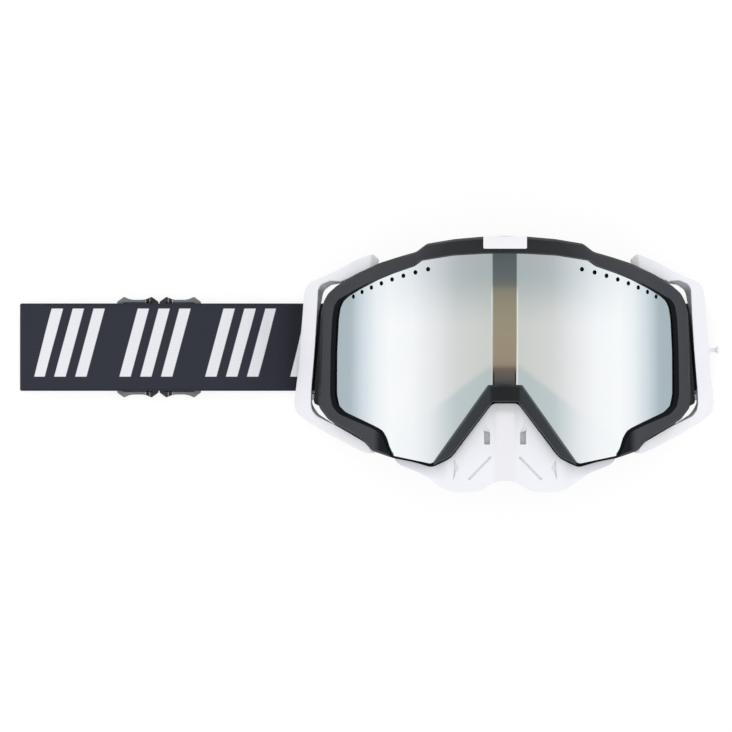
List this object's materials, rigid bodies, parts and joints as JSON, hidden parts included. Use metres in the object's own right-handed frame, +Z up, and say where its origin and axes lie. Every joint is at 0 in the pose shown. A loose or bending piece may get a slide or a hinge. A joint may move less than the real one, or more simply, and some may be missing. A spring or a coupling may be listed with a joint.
{
  "type": "motocross goggles",
  "caption": "Off-road motorcycle goggles with a mirrored lens, swinging outriggers, a nose guard and a wide strap, laid flat.",
  "frame": {"origin": "on the table under the middle of the lens, on the underside of the strap's rear layer", "axes": "+Z up, out of the lens and away from the face; +Y towards the brow; -X towards the wearer's right and the folded strap"},
  "size_m": [0.3229, 0.1178, 0.0904],
  "materials": {
    "black_plastic": "matte moulded black plastic",
    "bridge_plastic": "satin black plastic",
    "white_plastic": "satin white plastic",
    "mirror_lens": "silver mirror coating on a cylindrical lens",
    "frame_rubber": "matte black flexible frame",
    "gasket_rubber": "soft black seal",
    "dark_foam": "open-cell dark foam",
    "grey_foam": "closed-cell grey foam",
    "fleece": "brushed black fleece",
    "strap_webbing": "woven dark navy elastic with a plain white printed pattern",
    "smoke_plastic": "smoky grey glossy plastic",
    "steel_pin": "plain steel"
  },
  "bodies": {
    "goggle_frame": {"frame": "frame_rubber", "foam_base": "dark_foam", "foam_middle": "grey_foam", "foam_fleece": "fleece", "strap": "strap_webbing", "upper_pin_right": "steel_pin", "lower_pin_right": "steel_pin", "upper_pin_left": "steel_pin", "lower_pin_left": "steel_pin"},
    "lens_cassette": {"bezel": "black_plastic", "nose_bridge": "bridge_plastic", "lens": "mirror_lens", "lens_gasket": "gasket_rubber", "vent_foam_right": "dark_foam", "vent_foam_left": "dark_foam", "brow_badge": "white_plastic"},
    "nose_guard": {"nose_guard": "white_plastic"},
    "outrigger_right": {"outrigger_right": "white_plastic", "strap_loop_right": "strap_webbing"},
    "outrigger_left": {"outrigger_left": "white_plastic", "strap_loop_left": "strap_webbing", "tear_off_post": "white_plastic"},
    "slider_outer": {"slider_outer": "smoke_plastic"},
    "slider_inner": {"slider_inner": "smoke_plastic"}
  },
  "joints": [
    {"name": "lens_release", "type": "slide", "parent": "goggle_frame", "child": "lens_cassette", "axis": [0, 0, 1], "range_m": [0, 0.04]},
    {"name": "nose_guard_release", "type": "slide", "parent": "goggle_frame", "child": "nose_guard", "axis": [0, 0, 1], "range_m": [0, 0.03]},
    {"name": "outrigger_right_pivot", "type": "hinge", "parent": "goggle_frame", "child": "outrigger_right", "pos_m": [-0.062, -0.0035, 0.046], "axis": [0, 1, 0], "range_deg": [0, 25]},
    {"name": "outrigger_left_pivot", "type": "hinge", "parent": "goggle_frame", "child": "outrigger_left", "pos_m": [0.062, -0.0035, 0.046], "axis": [0, -1, 0], "range_deg": [0, 25]},
    {"name": "slider_outer_slide", "type": "slide", "parent": "goggle_frame", "child": "slider_outer", "axis": [-1, 0, 0], "range_m": [0, 0.02]},
    {"name": "slider_inner_slide", "type": "slide", "parent": "goggle_frame", "child": "slider_inner", "axis": [1, 0, 0], "range_m": [0, 0.02]}
  ]
}
